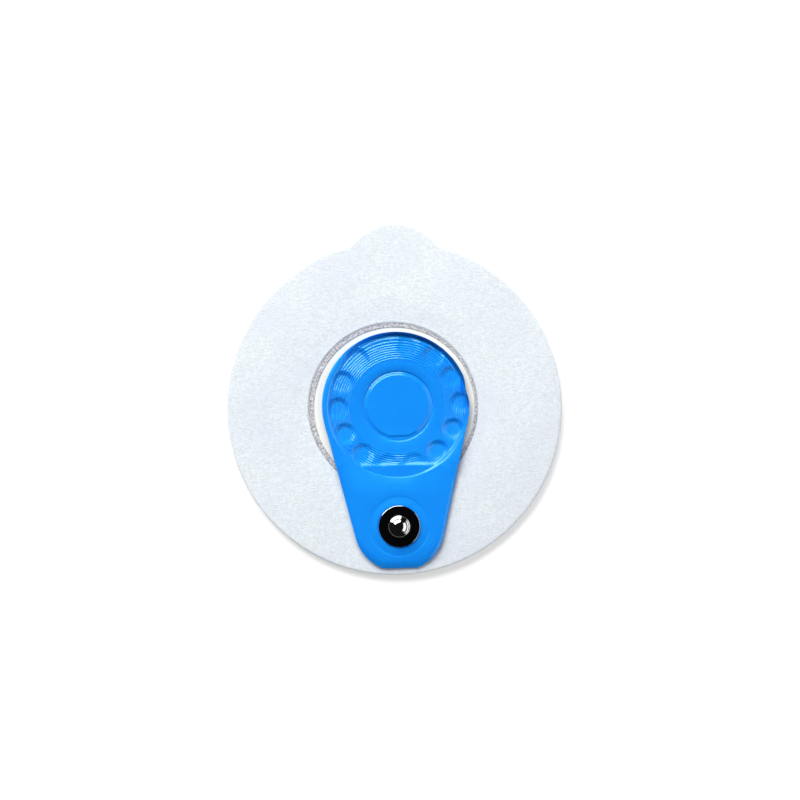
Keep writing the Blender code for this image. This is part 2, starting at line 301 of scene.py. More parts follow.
class StageSettings(bpy.types.PropertyGroup):
    """Floor, lights and camera"""

    key: bpy.props.FloatProperty(
        name="Key light",
        description="Brightness of the soft light past the lift tab",
        default=7.2,
        **LIGHT,
    )
    side: bpy.props.FloatProperty(
        name="Side light",
        description="Brightness of the long light on the right",
        default=1.7,
        **LIGHT,
    )
    overhead: bpy.props.FloatProperty(
        name="Overhead fill",
        description="Brightness of the broad light from above, which shiny pieces don't mirror",
        default=0.16,
        **LIGHT,
    )
    view_width: bpy.props.FloatProperty(
        name="View width",
        description="Width of the picture at the electrode",
        min=0.05,
        max=1.0,
        default=0.1626,
        **LENGTH,
    )


SETTINGS = {
    "electrode_patch": PatchSettings,
    "electrode_pad": PadSettings,
    "electrode_plate": PlateSettings,
    "electrode_snap": SnapSettings,
    "electrode_stage": StageSettings,
}


# Shader maths


class Socket:
    """An output socket in a sum: mask * 0.5 + noise adds the Math nodes that work it out."""

    def __init__(self, finish, output):
        self.finish = finish
        self.output = output

    def maths(self, operation, first, second):
        """Adds a Math node for two values, each a socket or a number."""
        settings = {"operation": operation}
        return self.finish.node("ShaderNodeMath", settings, {0: first, 1: second})

    def __add__(self, other):
        return self.maths("ADD", self, other)

    __radd__ = __add__

    def __sub__(self, other):
        return self.maths("SUBTRACT", self, other)

    def __rsub__(self, other):
        return self.maths("SUBTRACT", other, self)

    def __mul__(self, other):
        return self.maths("MULTIPLY", self, other)

    __rmul__ = __mul__

    def step(self, low, high):
        """Smooth step of this value from 0 at low to 1 at high."""
        settings = {"interpolation_type": "SMOOTHSTEP"}
        return self.finish.node(
            "ShaderNodeMapRange", settings, {"Value": self, "From Min": low, "From Max": high}
        )


class Finish:
    """One material while its nodes are put together."""

    def __init__(self, name):
        self.material = bpy.data.materials.new(name)
        self.material.use_nodes = True
        self.tree = self.material.node_tree
        self.tree.nodes.clear()
        self.place = self.node("ShaderNodeTexCoord", output="Object")

    def node(self, kind, settings=None, sockets=None, output=0):
        """Adds a node: its settings first, then the value or link of each socket.

        Gives back the output of that name or number, or a list of them for a tuple of names.
        """
        made = self.tree.nodes.new(kind)
        for key, value in (settings or {}).items():
            setattr(made, key, value)
        for key, value in (sockets or {}).items():
            if isinstance(value, Socket):
                self.tree.links.new(value.output, made.inputs[key])
            else:
                made.inputs[key].default_value = value
        if isinstance(output, tuple):
            return [Socket(self, made.outputs[name]) for name in output]
        return Socket(self, made.outputs[output]) if made.outputs else None

    def blend(self, factor, first, second):
        """Mixes two colours."""
        settings = {"data_type": "RGBA", "clamp_factor": True}
        return self.node(
            "ShaderNodeMix",
            settings,
            {0: factor, 6: self.opaque(first), 7: self.opaque(second)},
            output=2,
        )

    @staticmethod
    def opaque(colour):
        """A plain colour with its alpha of 1; a socket stays as it is."""
        return colour if isinstance(colour, Socket) else (*colour[:3], 1.0)

    def noise(self, size, detail=3.0, roughness=0.5, distortion=0.0):
        """Noise whose patches are about `size` millimetres across."""
        sockets = {
            "Vector": self.place,
            "Scale": 1.0 / (size * MM),
            "Detail": detail,
            "Roughness": roughness,
            "Distortion": distortion,
        }
        return self.node("ShaderNodeTexNoise", {"noise_dimensions": "3D"}, sockets)

    def fibres(self, length, width, degrees):
        """Noise drawn out along one direction of the flat, as streaks of that length and width."""
        turned_place = self.node(
            "ShaderNodeMapping",
            {"vector_type": "POINT"},
            {
                "Vector": self.place,
                "Rotation": (0.0, 0.0, math.radians(degrees)),
                "Scale": (1.0 / (length * MM), 1.0 / (width * MM), 1.0 / (length * MM)),
            },
        )
        sockets = {"Vector": turned_place, "Scale": 1.0, "Detail": 1.0, "Distortion": 0.6}
        return self.node("ShaderNodeTexNoise", {"noise_dimensions": "3D"}, sockets)

    def off_axis(self, x, y):
        """Distance from a vertical axis through x and y, in millimetres."""
        flat = self.node(
            "ShaderNodeVectorMath",
            {"operation": "MULTIPLY_ADD"},
            {0: self.place, 1: (1000.0, 1000.0, 0.0), 2: (-x, -y, 0.0)},
        )
        return self.node("ShaderNodeVectorMath", {"operation": "LENGTH"}, {0: flat}, output=1)

    def bump(self, height, depth):
        """A bumped normal from a height of 0 to 1 that is `depth` millimetres high."""
        sockets = {"Height": height, "Distance": depth * MM, "Strength": 1.0}
        return self.node("ShaderNodeBump", None, sockets)

    def shade(self, **sockets):
        """Ends the material in one Principled shader; a_b stands for the socket A B."""
        values = {}
        for key, value in sockets.items():
            name = " ".join(word if word == "IOR" else word.capitalize() for word in key.split("_"))
            if key in ("base_color", "specular_tint"):
                value = self.opaque(value)
            values[name] = value
        shader = self.node("ShaderNodeBsdfPrincipled", None, values)
        self.node("ShaderNodeOutputMaterial", None, {"Surface": shader})
        return self.material


def shaded(colour, share):
    """A colour times one number."""
    return tuple(channel * share for channel in colour)


def fabric_finish(patch):
    """Matted white fibres, with a grey mottled band where the fabric is pressed onto the foam."""
    finish = Finish("non_woven_fabric")
    colour = tuple(patch.colour)
    cloud = finish.noise(11.0, 3.0)
    tufts = finish.noise(0.55, 3.0, 0.65, 0.8)
    fibres = finish.fibres(0.9, 0.16, 25.0) * finish.fibres(0.8, 0.15, 118.0)
    seam = 1.0 - finish.off_axis(*SEAM_SHIFT).step(SEAM_RADIUS - 0.08, SEAM_RADIUS + 0.12)
    rim = finish.off_axis(*SEAM_SHIFT).step(SEAM_RADIUS - 0.45, SEAM_RADIUS - 0.1)
    speckle = finish.noise(0.36, 2.0, 0.7, 1.0).step(0.36, 0.64) - rim * 0.3
    mottle = finish.blend(speckle, shaded(patch.seam_colour, 0.55), shaded(patch.seam_colour, 1.5))
    lilac = (colour[0] * 0.955, colour[1] * 0.935, colour[2] * 0.985)
    felt = finish.blend(cloud.step(0.38, 0.68), colour, lilac)
    felt = finish.blend(tufts.step(0.3, 0.7), felt, shaded(colour, 0.84))
    relief = tufts * 0.8 + fibres * 1.1
    return finish.shade(
        base_color=finish.blend(seam, felt, mottle),
        roughness=0.85,
        sheen_weight=0.08,
        sheen_roughness=0.5,
        normal=finish.bump(relief, 0.07),
    )


def foam_finish(pad):
    """Smooth closed-cell foam with a fine grain."""
    finish = Finish("white_foam")
    colour = tuple(pad.foam_colour)
    grain = finish.noise(0.25, 3.0, 0.6)
    cells = finish.node(
        "ShaderNodeTexVoronoi", {"feature": "F1"}, {"Vector": finish.place, "Scale": 4500.0}
    )
    return finish.shade(
        base_color=finish.blend(grain.step(0.3, 0.7) * 0.35, colour, shaded(colour, 0.9)),
        roughness=0.55,
        normal=finish.bump(grain * 0.6 + cells * 0.4, 0.02),
    )


def gel_finish(pad):
    """Open sponge cells under a wet film of clear gel."""
    finish = Finish("gel_soaked_sponge")
    colour = tuple(pad.gel_colour)
    cells = finish.node(
        "ShaderNodeTexVoronoi", {"feature": "SMOOTH_F1"}, {"Vector": finish.place, "Scale": 1900.0}
    )
    pores = cells.step(0.15, 0.6)
    return finish.shade(
        base_color=finish.blend(pores, colour, shaded(colour, 0.72)),
        roughness=0.22,
        coat_weight=0.8,
        coat_roughness=0.05,
        subsurface_weight=0.2,
        subsurface_scale=0.001,
        normal=finish.bump(1.0 - pores, 0.06),
    )


def plate_finish(plate):
    """Glossy moulded sheet; its gloss keeps a blue cast and its skin is very slightly uneven.

    A painted highlight makes a lighter line along the top of the wall on the left.
    Painted shade makes the wall darker and duller from its foot outwards at the top and right,
    where it is steepest.
    """
    finish = Finish("blue_plastic")
    colour = tuple(plate.colour)
    haze = finish.noise(5.0, 3.0, 0.55)
    skin = finish.noise(0.6, 2.0, 0.5)
    radius = finish.off_axis(*on_plate(np.array([DISH_X, 0.0, 0.0]))[:2])
    x, y = finish.node("ShaderNodeSeparateXYZ", None, {"Vector": finish.place}, output=("X", "Y"))
    # painted highlight: a narrow band at the top of the wall, on the left of the dish, where the
    # colour is lightened
    painted_crest_highlight = radius.step(CREST_RADIUS - 0.20, CREST_RADIUS - 0.03)
    painted_crest_highlight = painted_crest_highlight * (1.0 - radius.step(CREST_RADIUS + 0.03, CREST_RADIUS + 0.20))
    painted_crest_highlight = painted_crest_highlight * (1.0 - x.step(-12.8 * MM, -10.0 * MM))
    # painted shade: from the wall's foot outwards, at the top and right, the base colour falls to
    # 0.4 of the plate's colour
    foot = radius.step(WALL_FOOT - 0.2, WALL_FOOT + 0.1)
    foot = foot * x.step(-8.0 * MM, 2.0 * MM) * y.step(-1.0 * MM, 1.5 * MM)
    sheet = finish.blend(haze.step(0.3, 0.7) * 0.5, colour, shaded(colour, 0.93))
    sheet = finish.blend(foot, sheet, shaded(colour, 0.4))
    return finish.shade(
        # painted highlight: a fifth of a pale cyan is mixed into that band
        base_color=finish.blend(painted_crest_highlight * 0.2, sheet, (0.2, 0.75, 1.0)),
        roughness=skin * 0.06 + 0.42,
        specular_IOR_level=0.8,
        specular_tint=(0.1, 1.0, 0.9),
        subsurface_weight=0.4,
        subsurface_radius=(0.05, 0.15, 1.0),
        subsurface_scale=0.0004,
        # painted shade: the coat is thinned where the shade is painted, so that the band stays dark
        coat_weight=0.6 - foot * 0.5,
        coat_roughness=0.06,
        normal=finish.bump(haze * 0.8 + skin * 0.2, 0.012),
    )


def black_finish(snap):
    """Polished black, with a thin bright metallic band along its bevel that mirrors the lamps."""
    finish = Finish("black_plastic")
    skin = finish.noise(0.5, 2.0)
    # metallic band along the bevel, where the lamps show as a thin rim highlight
    rim = finish.off_axis(*SNAP).step(BASE_RADIUS - BEVEL, BASE_RADIUS - BEVEL + 0.015)
    return finish.shade(
        base_color=finish.blend(rim, tuple(snap.base_colour), BEVEL_METAL),
        metallic=rim,
        roughness=skin * 0.04 + 0.04,
        IOR=2.0,
        normal=finish.bump(skin, 0.0008),
    )


def metal_finish(name, colour, roughness, scratch=0.003):
    """Plated metal with fine marks that run round the snap."""
    finish = Finish(name)
    radius = finish.off_axis(*SNAP)
    marks = finish.node(
        "ShaderNodeTexNoise", {"noise_dimensions": "1D"}, {"W": radius * 9.0, "Detail": 3.0}
    )
    stain = finish.noise(0.7, 3.0)
    return finish.shade(
        base_color=finish.blend(stain.step(0.3, 0.8) * 0.4, colour, shaded(colour, 0.85)),
        metallic=1.0,
        roughness=stain * 0.04 + roughness,
        normal=finish.bump(marks, scratch),
    )


def silver_finish(name, colour, roughness, tarnish):
    """Thin silver with a cloudy tarnish."""
    finish = Finish(name)
    cloud = finish.noise(1.1, 4.0, 0.6)
    grain = finish.noise(0.12, 2.0)
    return finish.shade(
        base_color=finish.blend(cloud.step(0.3, 0.7) * tarnish, colour, shaded(colour, 0.6)),
        metallic=0.9,
        roughness=grain * 0.15 + roughness,
        normal=finish.bump(grain, 0.004),
    )


# Surfaces on grids, in millimetres


def ramp(low, high, values):
    """Share of the way from low to high, held between 0 and 1."""
    return np.clip((values - low) / (high - low), 0.0, 1.0)


def step(low, high, values):
    """Smooth step: 3t^2 - 2t^3 of the share t of the way from low to high."""
    share = ramp(low, high, values)
    return share * share * (3.0 - 2.0 * share)


def sector(angles, begins, ends):
    """1 over a stretch of angles, with a smooth step over each pair of degrees at its ends."""
    degrees = np.degrees(angles) % 360.0
    return step(*begins, degrees) * (1.0 - step(*ends, degrees))


def rounded(corners, bends=6):
    """An outline through (x, y, reach) corners.

    Each corner becomes the curve (1-t)^2 A + 2t(1-t) C + t^2 B, where A and B lie `reach` from
    the corner C on its two sides.
    """
    corners = np.asarray(corners, float)
    share = np.linspace(0.0, 1.0, bends + 1)[:, None]
    runs = [corners[:1, :2]]
    for before, corner, after in zip(corners[:-2], corners[1:-1], corners[2:]):
        point, reach = corner[:2], corner[2]
        if reach == 0.0:
            runs.append(point[None])
            continue
        back, ahead = before[:2] - point, after[:2] - point
        start = point + back / np.hypot(*back) * reach
        end = point + ahead / np.hypot(*ahead) * reach
        curve = (1 - share) ** 2 * start + 2 * share * (1 - share) * point + share**2 * end
        runs.append(curve)
    runs.append(corners[-1:, :2])
    return np.concatenate(runs)


def turned(profile, sides, middle=(0.0, 0.0)):
    """Rows of points: (x, y) = middle + r (cos a, sin a), at height z, for each (r, z)."""
    profile = np.asarray(profile, float)
    angles = np.arange(sides) * math.tau / sides
    radius, height = profile[:, :1], profile[:, 1:]
    x = middle[0] + radius * np.cos(angles)
    y = middle[1] + radius * np.sin(angles)
    return np.stack([x, y, height + np.zeros_like(x)], axis=-1)


def on_plate(points):
    """Points of the plate's own frame, turned by PLATE_TURN about +Z and then shifted.

    Past the snap's base the tongue bends down with the square of the distance.
    """
    past = np.maximum(-points[..., 1] - SNAP_REACH - BASE_RADIUS, 0.0)
    cosine, sine = math.cos(PLATE_TURN), math.sin(PLATE_TURN)
    x = cosine * points[..., 0] - sine * points[..., 1] + PLATE_SHIFT[0]
    y = sine * points[..., 0] + cosine * points[..., 1] + PLATE_SHIFT[1]
    return np.stack([x, y, points[..., 2] - TONGUE_BEND * past**2], axis=-1)


def within(points, outline):
    """Which points lie inside an outline: an odd number of its sides cross their ray to +X."""
    x, y = points[:, :1], points[:, 1:2]
    start, end = outline, np.roll(outline, -1, axis=0)
    rise = end[:, 1] - start[:, 1]
    slope = (end[:, 0] - start[:, 0]) / np.where(rise == 0.0, 1.0, rise)
    crossed = (start[:, 1] > y) != (end[:, 1] > y)
    return (crossed & (x < start[:, 0] + (y - start[:, 1]) * slope)).sum(axis=1) % 2 == 1


class Skin:
    """A closed skin in millimetres, put together from bands, fans and flat webs of faces."""

    def __init__(self):
        self.blocks = []
        self.faces = []
        self.count = 0

    def rows(self, points):
        """Takes points as rows by columns by 3 and gives back their numbers."""
        shape = points.shape[:2]
        numbers = self.count + np.arange(shape[0] * shape[1]).reshape(shape)
        self.blocks.append(points.reshape(-1, 3))
        self.count += numbers.size
        return numbers

    def band(self, numbers):
        """Four-sided faces between neighbouring rows, each row closed on itself."""
        after = np.roll(numbers, -1, axis=1)
        quads = np.stack([numbers[:-1], after[:-1], after[1:], numbers[1:]], axis=-1)
        self.faces += quads.reshape(-1, 4).tolist()
        return numbers

    def fan(self, row, point):
        """Triangles from a row to one point in its middle."""
        middle = self.rows(np.reshape(np.asarray(point, float), (1, 1, 3)))[0, 0]
        fans = np.stack([row, np.roll(row, -1), np.full_like(row, middle)], axis=-1)
        self.faces += fans.tolist()

    def web(self, outer, *inner):
        """Flat Delaunay triangles between an outer row and the rows inside it."""
        points = np.concatenate(self.blocks)
        rings = [outer, *inner]
        numbers = np.concatenate(rings)
        starts = np.cumsum([0] + [len(ring) for ring in rings[:-1]])
        sides = np.concatenate(
            [
                np.stack([np.arange(len(ring)), np.roll(np.arange(len(ring)), -1)], axis=1) + start
                for ring, start in zip(rings, starts)
            ]
        )
        flat = [Vector(point) for point in points[numbers, :2].tolist()]
        found = delaunay_2d_cdt(flat, sides.tolist(), [], 1, 1e-6)
        if len(found[0]) != len(numbers):
            crossings = [tuple(point) for point, source in zip(found[0], found[3]) if not source]
            raise ValueError(f"two rows of a flat web touch at {crossings[:4]}")
        triangles = numbers[np.array(found[2])]
        centres = points[triangles].mean(axis=1)
        keep = ~np.any([within(centres, points[ring]) for ring in inner], axis=0)
        self.faces += triangles[keep].tolist()

    def piece(self, name, material, crease=35.0):
        """Makes the object: in metres, its faces turned outwards and shaded smooth."""
        mesh = bpy.data.meshes.new(name)
        mesh.from_pydata((np.concatenate(self.blocks) * MM).tolist(), [], self.faces)
        turned_out = bmesh.new()
        turned_out.from_mesh(mesh)
        bmesh.ops.recalc_face_normals(turned_out, faces=turned_out.faces)
        if turned_out.calc_volume(signed=True) < 0.0:
            bmesh.ops.reverse_faces(turned_out, faces=turned_out.faces)
        turned_out.to_mesh(mesh)
        turned_out.free()
        mesh.shade_smooth()
        mesh.set_sharp_from_angle(angle=math.radians(crease))
        mesh.materials.append(material)
        item = bpy.data.objects.new(name, mesh)
        bpy.context.scene.collection.objects.link(item)
        return item


def turned_piece(name, material, profile, sides, middle):
    """A turned solid. A profile that starts and ends on the axis is closed there by two fans."""
    skin = Skin()
    profile = np.asarray(profile, float)
    if profile[0, 0] == 0.0:
        rows = skin.band(skin.rows(turned(profile[1:-1], sides, middle)))
        skin.fan(rows[0], (*middle, profile[0, 1]))
        skin.fan(rows[-1], (*middle, profile[-1, 1]))
    else:
        rows = skin.rows(turned(profile, sides, middle))
        skin.band(np.concatenate([rows, rows[:1]]))
    return skin.piece(name, material)


def dress(piece, node):
    """The piece moves with the one body and stands for its solid, which is hidden."""
    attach(piece, "root")
    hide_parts(node)


# Patch


def patch_reach(angles):
    """Distance from the middle to the outline: the lift tab's circle, a hollow circle or the edge.

    Along a ray at an angle d from +Y, a circle about C with radius R is met at C.u + or -
    sqrt((C.u)^2 - C.C + R^2), u being the ray: the far side of the tab's circle, the near side of
    the hollow one.
    """
    tab_y = PATCH_RADIUS + TAB_REACH - TAB_RADIUS
    hollow = PATCH_RADIUS + TAB_BLEND
    far = TAB_RADIUS + TAB_BLEND
    lean = math.acos((hollow**2 + tab_y**2 - far**2) / (2 * hollow * tab_y))
    hollow_x, hollow_y = hollow * math.sin(lean), hollow * math.cos(lean)
    tab_lean = math.atan2(hollow_x, hollow_y - tab_y)
    touch = (TAB_RADIUS * math.sin(tab_lean), tab_y + TAB_RADIUS * math.cos(tab_lean))
    touch_angle = math.atan2(*touch)
    off = np.abs((angles - math.pi / 2 + math.pi) % math.tau - math.pi)
    along_tab = tab_y * np.cos(off)
    along_hollow = hollow_x * np.sin(off) + hollow_y * np.cos(off)
    tab = along_tab + np.sqrt(np.maximum(along_tab**2 - tab_y**2 + TAB_RADIUS**2, 0.0))
    root = np.maximum(along_hollow**2 - hollow**2 + TAB_BLEND**2, 0.0)
    near = along_hollow - np.sqrt(root)
    return np.select([off < touch_angle, off < lean], [tab, near], PATCH_RADIUS)


def patch_sag(x, y, patch):
    """Height that the free fabric stands off its flat plane: a droop to the rim plus soft waves.

    The droop grows with the square of the distance past the bond. The waves are a product of
    sines 32 and 40 mm long, a slanting sine 25 mm long and three waves round the rim. Both fade
    to nothing at the bond.
    """
    radius = np.hypot(x, y)
    angle = np.arctan2(y, x)
    free = np.clip((radius - BOND_RADIUS) / (PATCH_RADIUS - BOND_RADIUS), 0.0, 1.4)
    waves = (
        np.sin(x / 5.1 + 0.8) * np.sin(y / 6.3 - 0.4)
        + 0.7 * np.sin(0.21 * x - 0.13 * y + 1.7)
        + 0.8 * np.sin(3.0 * angle + 0.6) * free
    )
    return -patch.droop / MM * free**2 + patch.ripple / MM * waves * step(0.0, 0.5, free)


def patch_skin(patch):
    """Closed sheet with a round hole: rows round it from the hole's foot over the top and back.

    Each row's radius is a mix of three outlines, the hole, the seam's circle, which lies a little
    off centre, and the patch's own outline, plus a distance past it. Its line in the section
    gives the shares of the last two, that distance and a height. Past the seam a short and then a
    long smooth step lift the fabric from its pressed to its full thickness.
    """
    angles = np.arange(720) * math.tau / 720
    reach = patch_reach(angles)
    seam = SEAM_RADIUS + SEAM_SHIFT[0] * np.cos(angles) + SEAM_SHIFT[1] * np.sin(angles)
    near, width = 0.4, 16.0

    def lifted(past):
        """Top of the fabric at a distance past the seam."""
        swell = (PATCH_TOP - SEAM_TOP - SEAM_STEP) * step(0.2, SWELL_REACH, past)
        return SEAM_TOP + SEAM_STEP * step(0.0, 0.25, past) + swell

    section = [
        (0.0, 0.0, 0.05, PATCH_BASE),
        (0.0, 0.0, 0.0, PATCH_BASE + 0.03),
        (0.0, 0.0, 0.0, SEAM_TOP - 0.05),
        (0.0, 0.0, 0.03, SEAM_TOP - 0.012),
        *[(share, 0.0, 0.0, SEAM_TOP) for share in np.linspace(0.12, 1.0, 7)],
        *[(1.0, 0.0, past, lifted(past)) for past in np.linspace(0.04, near, 10)],
        *[
            (1.0 - share, share, near, lifted(near + width * share))
            for share in np.linspace(0.03, 0.95, 28)
        ],
        (0.0, 1.0, -0.10, PATCH_TOP - 0.012),
        (0.0, 1.0, -0.04, PATCH_TOP - 0.05),
        (0.0, 1.0, 0.0, PATCH_TOP - 0.13),
        (0.0, 1.0, 0.01, PATCH_TOP - 0.24),
        (0.0, 1.0, -0.01, PATCH_BASE + 0.06),
        (0.0, 1.0, -0.07, PATCH_BASE),
        *[(1.0 - share, share, 0.0, PATCH_BASE) for share in np.linspace(0.97, 0.0, 12)],
    ]
    on_seam, on_edge, past, height = np.array(section).T[:, :, None]
    radius = (1.0 - on_seam - on_edge) * HOLE_RADIUS + on_seam * seam + on_edge * reach + past
    x, y = radius * np.cos(angles), radius * np.sin(angles)
    z = height + patch_sag(x, y, patch)
    skin = Skin()
    rows = skin.rows(np.stack([x, y, z], axis=-1))
    skin.band(np.concatenate([rows, rows[:1]]))
    area = 0.5 * float(np.mean(reach**2)) * math.tau - math.pi * HOLE_RADIUS**2
    return skin, area * MM * MM


# Plate


def drawn_in(x, y):
    """Moves points of the plate towards the dish's middle, by an amount that angle and radius set.

    Near the rim a bell curve of the angle pulls a notch in. At the groove's inner wall the radius
    is divided by max(1, k cos a), a being the angle from the tongue, so that its lowest stretch
    runs straight.
    """
    x = x - DISH_X
    radius = np.hypot(x, y)
    angle = np.arctan2(y, x)
    off = (angle - NOTCH_ANGLE) / NOTCH_SPREAD
    notch = NOTCH_DEPTH * np.exp(-(off**2)) * step(*NOTCH_REACH, radius)
    straight = np.maximum(1.0, 1.045 * np.cos(angle + math.pi / 2))
    share = step(4.4, 5.8, radius) * (1.0 - step(6.58, 7.0, radius))
    radius = (radius - notch) / (1.0 + (straight - 1.0) * share)
    return DISH_X + radius * np.cos(angle), radius * np.sin(angle)


def dents(x, y, depth, reach):
    """Depth of the round dents at a point of the dish.

    The nearest dent is found from the angle, because they stand evenly round the dish. The one
    at the notch lies further out. From a dent's edge in to its flat middle the depth grows by
    0.6 of a straight ramp and 0.4 of a smooth step. It is scaled by 0.68 + 0.45 y, y being the
    share of the reach, so that the +Y side is the deepest. Dents at the sides are a little
    deeper, and those at the top and the bottom half as deep.
    """
    pitch = math.tau / DENT_COUNT
    nearest = pitch * np.round((np.arctan2(y, x) - DENT_TURN) / pitch) + DENT_TURN
    at_notch = np.abs(nearest - DENT_TURN) < 0.1
    ring = DENT_RING + 0.6 * at_notch
    off_x, off_y = x - ring * np.cos(nearest), y - ring * np.sin(nearest)
    gap = np.hypot(off_x, off_y)
    flat = (0.53 + 0.07 * off_y / np.maximum(gap, 0.1)) * reach
    scale = np.minimum(0.68 + 0.45 * off_y / reach, 1.0)
    scale *= 0.85 + 0.15 * np.cos(nearest) ** 2
    scale *= 1.0 - 0.5 * (np.abs(np.sin(nearest)) > 0.9)
    return depth * scale * (0.6 * ramp(reach, flat, gap) + 0.4 * step(reach, flat, gap))


def groove(radius, y, deep):
    """Ring groove: a straight fall to a ledge, another to the bed, and a smooth rise.

    Towards -Y the first fall takes more of the whole depth and starts a little further in.
    """
    low = step(2.0, -6.0, y)
    first = deep * (0.5 + 0.35 * low)
    falls = first * ramp(GROOVE_LIP - 0.2 * low, GROOVE_LEDGE, radius)
    falls += (deep - first) * ramp(*GROOVE_FALL, radius)
    return deep * step(*GROOVE_RISE, radius) - falls


def fine_rings(radius, y, lower_right, plate):
    """Fine rings: a cosine of the radius that fades at both ends and is weaker towards -Y."""
    waves = np.cos((radius - FIRST_RING) * math.tau / (plate.ring_pitch / MM))
    waves *= step(*RINGS_BEGIN, radius) * (1.0 - step(*RINGS_END, radius))
    waves *= 1.0 - 0.45 * step(-1.0, -5.0, y) - 0.32 * lower_right
    return 0.5 * plate.ring_height / MM * waves


def trench(x, y, radius):
    """Depth of the trench at the wall's foot, a triangle across the radius, at top and right."""
    where = step(-9.0, -2.0, x) * step(-4.0, 1.5, y)
    across = np.clip(1.0 - np.abs(radius - TRENCH_RADIUS) / TRENCH_REACH, 0.0, 1.0)
    return TRENCH_DEPTH * where * across


def floor_height(radius, y, left, lower_right):
    """Floor of the dish without its groove, rings and dents.

    Sum of: a parabola up to the shoulder, which is higher towards +Y; a straight fall from there
    to the wall; a smooth rise to the shelf; on the left a smooth rise outwards and a bell curve
    for the ridge at the wall; and a slight smooth fall at the lower right.
    """
    shoulder = SHOULDER_HEIGHT + SHOULDER_EXTRA * step(-1.0, 7.0, y)
    height = shoulder * (1.0 - (1.0 - ramp(*SHOULDER, radius)) ** 2)
    height -= FLOOR_DROP * ramp(*FLOOR_FALL, radius)
    height += SHELF_RISE * step(-4.0, -13.0, y)
    ridge = RIDGE_HEIGHT * np.exp(-(((radius - RIDGE_RADIUS) / 0.17) ** 2))
    height += left * (LEFT_RISE * step(9.5, 14.2, radius) + ridge)
    return height - LOWER_RIGHT_DROP * lower_right * step(9.5, 13.4, radius)


def dish_height(x, y, plate, fine=True):
    """Height over the dish's floor at a point of the dish, where the top has the fine details.

    The floor passes by smooth steps into the tongue's shelf, and by the wall into the rim. The
    wall is a straight slope, and a smooth step on the left and at the shelf. On the left and at
    the lower right it starts further in.
    """
    radius, angle = np.hypot(x, y), np.arctan2(y, x)
    left, lower_right = sector(angle, *LEFT_SECTOR), sector(angle, *LOWER_RIGHT_SECTOR)
    shelf = step(*SHELF_START, y)
    dent_depth = plate.dent_depth / MM
    height = floor_height(radius, y, left, lower_right)
    if fine:
        rings = fine_rings(radius, y, lower_right, plate)
        height += groove(radius, y, plate.groove_depth / MM)
        height += (rings - dents(x, y, dent_depth, DENT_REACH)) * (1.0 - shelf)
        height = np.maximum(height - trench(x, y, radius), LOWEST)
    else:
        height -= dents(x, y, min(dent_depth, 0.18), DENT_REACH - 0.25)
    shelf_top = SHELF_HEIGHT - 0.02 * ramp(-12.0, -14.2, y)
    height += (shelf_top - height) * shelf
    soft = np.maximum(left, 0.5 * lower_right)
    foot = WALL_FOOT - 0.6 * soft + 0.3 * shelf
    slope = ramp(foot, RIM_RADIUS, radius)
    wall = slope + (step(foot, RIM_RADIUS, radius) - slope) * np.maximum(soft, shelf)
    return height + (RIM_TOP - FLOOR_TOP - height) * wall


def rim_shift(angles):
    """How far the wall moves out from RIM_RADIUS: up to the cut edge at the top and right.

    The edge's distance along a ray is C.u + sqrt((C.u)^2 - C.C + R^2), C being the edge's centre
    seen from the dish's. On the left and at the tongue the wall stays, and a flange shows.
    """
    centre_x, centre_y = EDGE_SHIFT[0] - DISH_X, EDGE_SHIFT[1]
    along = centre_x * np.cos(angles) + centre_y * np.sin(angles)
    edge = along + np.sqrt(along**2 - centre_x**2 - centre_y**2 + EDGE_RADIUS**2)
    return (edge - RIM_INSET - RIM_RADIUS) * (1.0 - sector(angles, *FLANGE_SECTOR))


def dish_rows(radii, sides, base, plate, fine):
    """Rows of the dish: a polar grid about its middle, lifted by dish_height and drawn in."""
    angles = np.arange(sides) * math.tau / sides
    radii = np.asarray(radii)[:, None]
    z = base + dish_height(radii * np.cos(angles), radii * np.sin(angles), plate, fine)
    radii = radii + rim_shift(angles) * step(12.4, 14.1, radii)
    x, y = drawn_in(radii * np.cos(angles) + DISH_X, radii * np.sin(angles))
    return np.stack([x, y, z], axis=-1)


def plate_outline():
    """Points round the plate: an arc of the dish, the tongue's arcs and its cut-off end."""
    lean = math.asin((PLATE_RADIUS - TONGUE_RADIUS) / SNAP_REACH)
    corner = math.asin(1.0 - TONGUE_CUT / TONGUE_RADIUS)

    def arc(radius, centre_y, start, end, count):
        angles = np.linspace(start, end, count)
        return np.stack([radius * np.cos(angles), centre_y + radius * np.sin(angles)], axis=-1)

    dish = arc(EDGE_RADIUS, 0.0, -lean, math.pi + lean, 260) + EDGE_SHIFT
    left = arc(TONGUE_RADIUS, -SNAP_REACH, math.pi + lean, math.pi + corner, 40)
    right = arc(TONGUE_RADIUS, -SNAP_REACH, math.tau - corner, math.tau - lean, 40)
    end = np.linspace(left[-1], right[0], 12)[1:-1]
    sides = [np.linspace(dish[-1], left[0], 24)[1:-1], np.linspace(right[-1], dish[0], 24)[1:-1]]
    return np.concatenate([dish, sides[0], left, end, right, sides[1]])


